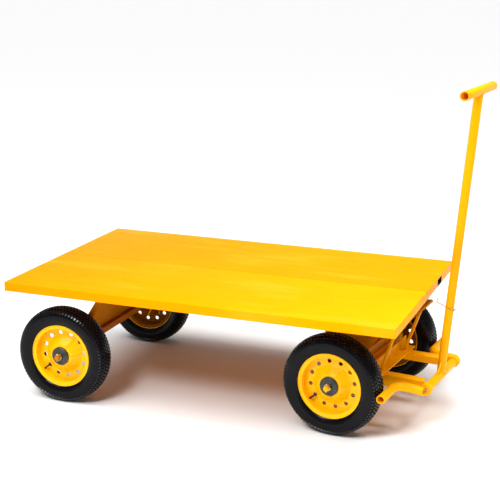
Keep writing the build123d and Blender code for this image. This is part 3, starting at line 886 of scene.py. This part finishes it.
def buildWheels():
    tread = treadTree()
    patterns = {"tyre": tyreMesh(tread), "rim": rimMesh(), "cap": capMesh()}
    patterns.update(nut=castleNutMesh(), pin=splitPinMesh())
    for name in wheelNames:
        space = wheelSpace(name)
        body = name + "_wheel"
        parts = (
            ("tyre", [materials["tyre"], materials["tread"]], "tyre_rubber", name + "_tyre"),
            ("rim", [materials["rim"], materials["shade"]], "yellow_enamel_rim", name + "_rim"),
            ("cap", materials["cap"], "dark_grey_metal", name + "_hub_cap"),
        )
        for kind, paint, slotName, node in parts:
            mesh = patterns[kind].copy()
            mesh.transform(space)
            piece = pieceFrom(mesh, name + "_" + kind + "_shape", paint, body, [node])
            limit = 50.0 if kind == "tyre" else 32.0
            mesh.set_sharp_from_angle(angle=math.radians(limit))
            if kind == "tyre":
                markTreadFlat(piece)
    for end, body in (("front", "bogie"), ("rear", "deck")):
        for kind, fit in axleEnds.items():
            both = bmesh.new()
            shift = Matrix.Translation((0, 0, fit["place"])) @ Matrix.Rotation(*fit["turn"])
            for side in ("near", "far"):
                mesh = patterns[kind].copy()
                mesh.transform(wheelSpace(end + "_" + side) @ shift)
                both.from_mesh(mesh)
                bpy.data.meshes.remove(mesh)
            made = meshFrom(both)
            node = end + ("_axle_nuts" if kind == "nut" else "_split_pins")
            pieceFrom(made, end + "_" + kind + "_shapes", materials[fit["paint"]], body, [node])
            made.set_sharp_from_angle(angle=math.radians(32))
    for mesh in patterns.values():
        bpy.data.meshes.remove(mesh)
    print("wheels made:", len(wheelNames))


def markTreadFlat(piece):
    # tread blocks keep crisp faces, the carcass stays smooth
    for face in piece.data.polygons:
        if face.material_index == 1:
            face.use_smooth = False


deckShape = {
    "sheet": 0.003,
    "cornerRadius": 0.006,
    "bendRadius": 0.0036,
    "reach": 0.05,
}


def bevelled(build, edges, offset, segments):
    bmesh.ops.bevel(build, geom=edges, offset=offset, segments=segments, profile=0.5, affect="EDGES")


def deckPanel(node, side):
    low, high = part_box(node)
    look = deckShape
    seamY = high.y if side < 0 else low.y
    outerY = low.y if side < 0 else high.y
    build = bmesh.new()
    x0, x1, z0, z1 = low.x, high.x, low.z - look["reach"], high.z
    inner = seamY - side * look["reach"]
    y0, y1 = sorted((inner, outerY))
    points = [(x0, y0), (x1, y0), (x1, y1), (x0, y1)]
    bottom = [build.verts.new((x, y, z0)) for x, y in points]
    top = [build.verts.new((x, y, z1)) for x, y in points]
    build.faces.new(top)
    for k in range(4):
        build.faces.new((bottom[k], bottom[(k + 1) % 4], top[(k + 1) % 4], top[k]))

    def edgesAt(axis, value):
        return {edge for edge in build.edges if all(abs(v.co[axis] - value) < 1e-6 for v in edge.verts)}

    corners = edgesAt(1, outerY) - edgesAt(2, z0) - edgesAt(2, z1)
    outer = [edge for edge in build.edges if edge in corners]
    bevelled(build, outer, look["cornerRadius"], 5)
    rimEdges = edgesAt(2, z1) - edgesAt(1, inner)
    bevelled(build, [edge for edge in build.edges if edge in rimEdges], look["bendRadius"], 4)
    for point, normal in (((0, 0, low.z), (0, 0, -1)), ((0, seamY, 0), (0, -side, 0))):
        everything = build.verts[:] + build.edges[:] + build.faces[:]
        bmesh.ops.bisect_plane(build, geom=everything, plane_co=point, plane_no=normal, clear_outer=True)
    bmesh.ops.recalc_face_normals(build, faces=build.faces)
    upward = max(build.faces, key=lambda face: face.calc_area())
    if upward.normal.z < 0:
        bmesh.ops.reverse_faces(build, faces=build.faces)
    mesh = meshFrom(build)
    mesh.materials.append(materials["deck"])
    mesh.materials.append(materials["under"])
    piece = newPiece("work", mesh)
    # painted shade: the sheet's underside takes the darker under enamel
    fold = piece.modifiers.new("fold", "SOLIDIFY")
    fold.material_offset = 1
    fold.thickness = look["sheet"]
    fold.offset = -1
    fold.use_even_offset = True
    applied(piece)
    if side > 0:
        cutOpening(piece)
    mesh = piece.data
    bpy.data.objects.remove(piece)
    name = "deck_sheet_near" if side < 0 else "deck_sheet_far"
    pieceFrom(mesh, name, [materials["deck"], materials["under"]], "deck", [node])
    mesh.set_sharp_from_angle(angle=math.radians(28))


def cutOpening(piece):
    low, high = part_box("stake_socket")
    cutter = bmesh.new()
    size = high - low
    place = Matrix.Translation((low + high) / 2) @ Matrix.Diagonal((size.x + 0.05, size.y, size.z, 1))
    bmesh.ops.create_cube(cutter, size=1.0, matrix=place)
    cutBy(piece, "tool", cutter)


underNodes = {
    "deck_rails": 0.002, "deck_cross_members": 0.002, "rear_axle_panel": 0.0008, "rear_struts": 0.0009,
    "rear_axle": 0.0015, "turntable_upper_plate": 0.0012,
}
bogieNodes = {
    "turntable_lower_plate": 0.0012, "bogie_head_frame": 0.0015, "bogie_side_plates": 0.0012,
    "bogie_lower_bolster": 0.002, "bogie_upper_bolster": 0.002, "front_axle": 0.0018,
    "drawbar_arm_far": 0.0011, "drawbar_arm_near": 0.0011, "cross_angle": 0.0011, "bogie_struts": 0.0009,
}
nodesWithoutPaintedShade = set(bogieNodes) - {"bogie_head_frame", "bogie_upper_bolster", "bogie_side_plates"}
nodesWithoutPaintedShade.add("turntable_upper_plate")


def easedNodes(nodes, body):
    for node, width in nodes.items():
        # painted shade: nodes left out of the set take the darker under enamel
        paint = materials["frame" if node in nodesWithoutPaintedShade else "under"]
        softened(node, width, paint, body)


def buildDeck():
    deckPanel("deck_panel_near", -1)
    deckPanel("deck_panel_far", 1)
    # painted shade: the stake socket gets the near-black finish
    softened("stake_socket", 0.0006, materials["socketShade"], "deck")
    easedNodes(underNodes, "deck")
    softened("kingpin_nut", 0.0012, materials["zinc"], "deck")
    print("deck made")


def buildBogie():
    easedNodes(bogieNodes, "bogie")
    print("bogie made")


pipeLook = {
    "radius": 0.01685,
    "handleRadius": 0.01748,
    "wall": 0.0032,
    "bendRadius": 0.044,
}


def drawbarEnds():
    handleLow, handleHigh = boxIn("handle_tube", bogieBack)
    top = (handleLow + handleHigh) / 2
    return Vector((pivot.x, 0, pivot.z)), Vector((top.x, 0, top.z)), (handleHigh.y - handleLow.y) / 2


def pipePiece(name, node, path, radius, segments, lip=0.0006):
    placed = [bogieSpace @ point for point in path]
    made = meshFrom(sweptPipe(placed, radius, pipeLook["wall"], segments, lip))
    pieceFrom(made, name, materials["frame"], "drawbar", [node])
    return made


def buildDrawbar():
    foot, top, half = drawbarEnds()
    r, handleRadius = pipeLook["radius"], pipeLook["handleRadius"]
    sunk = (top - foot).normalized() * (handleRadius * 0.75)
    pipePiece("drawbar_pipe", "drawbar_tube", [foot + sunk, top - sunk], r, 64)
    side = Vector((0, half, 0))
    pipePiece("handle_pipe", "handle_tube", [top - side, top + side], handleRadius, 64, 0.0008)
    for label, sign in (("near", -1), ("far", 1)):
        buildBrakeTube(label, sign)
    for node, width in (("cross_tube", 0.0008), ("pivot_knuckles", 0.0016), ("drawbar_gussets", 0.0009)):
        softened(node, width, materials["frame"], "drawbar")
    print("drawbar made")


def buildBrakeTube(label, sign):
    node = "brake_tube_" + label
    low, high = boxIn(node, bogieBack)
    r = pipeLook["radius"]
    inner, reach = (low.y + r, high.y) if sign > 0 else (high.y - r, low.y)
    back, end = low.x + r, high.z - r
    corners = [Vector((pivot.x, inner, pivot.z)), Vector((back, inner, end)), Vector((back, reach, end))]
    mesh = pipePiece(
        "brake_pipe_" + label, node, bentPath(corners, pipeLook["bendRadius"], 18), r, 48, 0.0009
    )
    mesh.set_sharp_from_angle(angle=math.radians(50))


def buildHook():
    softened("retaining_hook", 0.0004, materials["gold"], "drawbar", angle=50.0)


# a short length of stiff wire that holds the drawbar up
tieWire = {
    "diameter": 0.002,
    "length": 0.0907,
    "route": [
        (0.0, 0.030, 0.478), (0.012, 0.030, 0.478), (0.022, 0.019, 0.468), (0.032, 0.001, 0.463),
        (0.041, -0.018, 0.465), (0.045, -0.035, 0.475),
    ],
}


def buildWire():
    curve = bpy.data.curves.new("tie_wire_line", "CURVE")
    curve.dimensions = "3D"
    curve.bevel_depth = tieWire["diameter"] / 2
    curve.bevel_resolution = 3
    curve.use_fill_caps = True
    spline = curve.splines.new("NURBS")
    spline.points.add(len(tieWire["route"]) - 1)
    edge = deckHigh.x
    for point, (x, y, z) in zip(spline.points, tieWire["route"]):
        point.co = (edge + x, y, z, 1.0)
    spline.order_u = 3
    spline.use_endpoint_u = True
    spline.resolution_u = 12
    piece = newPiece("tie_wire_line", curve)
    curve.materials.append(materials["gold"])
    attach(piece, "deck")
    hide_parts("tie_wire")
    x, y, z = tieWire["route"][0]
    print("tie wire made")


weldLook = {
    "radius": 0.0026,
    "spacing": 0.0024,
    "seed": 7,
    "ripple": ((0.85, 0.85, 0.55), (1.12, 1.12, 0.75)),
    "gussetLifts": (-0.0028, 0.0028),
    "gussetIn": 0.002,
    "gussetShort": 0.006,
    "knuckleRing": 0.0105,
    "angleIn": 0.002,
    "proud": 0.0006,
    "strutDepth": 0.012,
    "strutRun": 0.013,
    "strutProud": 0.0005,
    "rearRun": 0.026,
    "rearProud": 0.0004,
}


def polyline(points, closed=False):
    mesh = bpy.data.meshes.new("line")
    edges = [(k, k + 1) for k in range(len(points) - 1)]
    if closed:
        edges.append((len(points) - 1, 0))
    mesh.from_pydata([tuple(p) for p in points], edges, [])
    return mesh


def saddle(centre, direction, pipeRadius, barRadius):
    # where a pipe that runs along direction meets a bar that lies along the axle line
    side = Vector((0, 1, 0))
    other = direction.cross(side).normalized()
    points = []
    for k in range(40):
        angle = math.tau * k / 40
        s = pipeRadius * math.sin(angle)
        down = math.sqrt(max(barRadius ** 2 - s ** 2, 0))
        points.append(centre + direction * down + side * (pipeRadius * math.cos(angle)) + other * s)
    return points


def buildWelds():
    look = weldLook
    tree = weldTree()
    foot, top = drawbarEnds()[:2]
    direction = (top - foot).normalized()
    r, hr = pipeLook["radius"], pipeLook["handleRadius"]
    drawbarLines = [(saddle(top, -direction, r, hr), True), (saddle(foot, direction, r, hr), True)]
    bogieLines, deckLines = [], []
    gussetHigh = boxIn("drawbar_gussets", bogieBack)[1]
    for sign in (-1, 1):
        run = Vector((0, sign * (gussetHigh.y - r - look["gussetShort"]), 0))
        for lift in look["gussetLifts"]:
            start = foot + direction * (hr + look["proud"])
            start += Vector((lift, sign * (r + look["gussetIn"]), 0))
            drawbarLines.append(([start, start + run], False))
    knuckleHigh = boxIn("pivot_knuckles", bogieBack)[1]
    for sign in (-1, 1):
        centre = Vector((pivot.x, sign * knuckleHigh.y, pivot.z))
        angles = [math.tau * k / 30 for k in range(30)]
        ring = [centre + look["knuckleRing"] * Vector((math.cos(t), 0, math.sin(t))) for t in angles]
        drawbarLines.append((ring, True))
    angleLow, angleHigh = boxIn("cross_angle", bogieBack)
    armLow, armHigh = boxIn("drawbar_arm_far", bogieBack)
    for sign in (-1, 1):
        ends = (sign * (armHigh.y - look["angleIn"]), sign * (armLow.y + look["angleIn"]))
        for x in (angleLow.x, angleHigh.x):
            bogieLines.append(([Vector((x, y, armHigh.z + look["proud"])) for y in ends], False))
    strutLow, strutHigh = boxIn("bogie_struts", bogieBack)
    rearLow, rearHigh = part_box("rear_struts")
    for sign in (-1, 1):
        x, y, z = strutLow.x, sign * strutHigh.y, strutLow.z + look["strutProud"]
        line = ((x, y - sign * look["strutDepth"], z), (x, y, z), (x + look["strutRun"], y, z))
        bogieLines.append(([Vector(point) for point in line], False))
        x, y, z = rearLow.x, sign * rearHigh.y, rearLow.z + look["rearProud"]
        deckLines.append(([Vector((x, y, z)), Vector((x + look["rearRun"], y, z))], False))
    for body, space, lines in (("drawbar", bogieSpace, drawbarLines), ("bogie", bogieSpace, bogieLines),
                               ("deck", Matrix.Identity(4), deckLines)):
        beads = bmesh.new()
        for number, (points, closed) in enumerate(lines):
            line = polyline([space @ p for p in points], closed)
            made = grown(tree, {"Radius": weldLook["radius"], "Spacing": weldLook["spacing"],
                                "Seed": weldLook["seed"] + number}, line)
            beads.from_mesh(made)
            bpy.data.meshes.remove(made)
        pieceFrom(meshFrom(beads), body + "_welds", materials["weld"], body)
    print("welds made")


# finishes of the CAD pieces that stay as they are
keptFinishes = {
    "bearing_steel": "steel",
    "zinc_steel": "zinc",
    "yellow_enamel_frame": "frame",
    "yellow_enamel_rim": "rim",
    "yellow_enamel_deck": "deck",
    "black_rubber": "valve",
    "tyre_rubber": "tyre",
    "dark_grey_metal": "cap",
    "brass": "brass",
    "gold_zinc_wire": "gold",
}


def paintKept():
    slots = {part["node"]: part["material_slot"] for part in frame["record"]["subparts"]}
    for node, piece in frame["nodes"].items():
        finish = materials[keptFinishes[slots[node]]]
        if not piece.material_slots:
            piece.data.materials.append(finish)
        for place in piece.material_slots:
            place.material = finish


stageLook = {
    "floor": (0.95, 0.95, 0.95),
    "floorClouds": (0.96, 0.96, 0.96),
    "size": 300.0,
    "world": 0.20,
    "horizon": (0.03, 0.11),
    "sun": 2.9,
    "sunFrom": (-0.2, -0.62, 1.6),
    "sunSpread": 50.0,
}
lights = [
    {"name": "key", "at": (-0.4, -3.1, 3.1), "size": 0.9, "power": 62.0},
    {"name": "top", "at": (0.9, 0.2, 4.2), "size": 2.6, "power": 85.0},
    {"name": "side", "at": (2.6, 0.3, 3.3), "size": 0.9, "power": 42.0},
]


def buildStage():
    build = bmesh.new()
    bmesh.ops.create_grid(build, x_segments=1, y_segments=1, size=stageLook["size"])
    floor = newPiece("floor", meshFrom(build))
    material, tree, shader, place = newMaterial("paleFloor")
    clouds = noise(tree, place, 1.5, 2.0)
    colour = ramp(tree, clouds, [(0.0, stageLook["floor"]), (1.0, stageLook["floorClouds"])])
    tree.links.new(colour, shader.inputs["Base Color"])
    shader.inputs["Roughness"].default_value = 0.9
    floor.data.materials.append(material)
    # white at the horizon, softer overhead
    world = bpy.data.worlds.new("studio")
    world.use_nodes = True
    tree = world.node_tree
    back = tree.nodes["Background"]
    back.inputs["Color"].default_value = (1.0, 1.0, 1.0, 1.0)
    heading = tree.nodes.new("ShaderNodeTexCoord").outputs["Generated"]
    height = newNode(tree, "ShaderNodeSeparateXYZ", {"Vector": heading}).outputs["Z"]
    fade = spread(tree, height, 1.0, stageLook["world"], *stageLook["horizon"])
    tree.links.new(fade, back.inputs["Strength"])
    scene.world = world
    sun = bpy.data.lights.new("sun", "SUN")
    sun.energy = stageLook["sun"]
    sun.angle = math.radians(stageLook["sunSpread"])
    sunHolder = newPiece("sun", sun)
    sunHolder.rotation_euler = Vector(stageLook["sunFrom"]).to_track_quat("Z", "Y").to_euler()
    target = deckCentre + Vector((0, 0, 0.4))
    for look in lights:
        lamp = bpy.data.lights.new(look["name"], "AREA")
        lamp.shape = "DISK"
        lamp.size = look["size"]
        lamp.energy = look["power"]
        holder = newPiece(look["name"], lamp)
        holder.location = deckCentre + Vector(look["at"])
        holder.rotation_euler = (target - holder.location).to_track_quat("-Z", "Y").to_euler()
    scene.view_settings.view_transform = "Standard"


cameraLook = {
    "place": (1.7335, -4.2489, 1.8193),
    "heading": 21.43,
    "down": 14.88,
    "lens": 82.12,
}


def buildCamera():
    lens = bpy.data.cameras.new("camera")
    lens.lens = cameraLook["lens"]
    lens.sensor_width = 36.0
    holder = newPiece("camera", lens)
    holder.location = deckCentre + Vector(cameraLook["place"])
    holder.rotation_euler = (math.radians(90 - cameraLook["down"]), 0, math.radians(cameraLook["heading"]))
    scene.camera = holder


buildCamera()
buildWire()
paintKept()
buildWheels()
buildDeck()
buildBogie()
buildDrawbar()
buildHook()
buildWelds()
buildStage()
print("stage and light made")
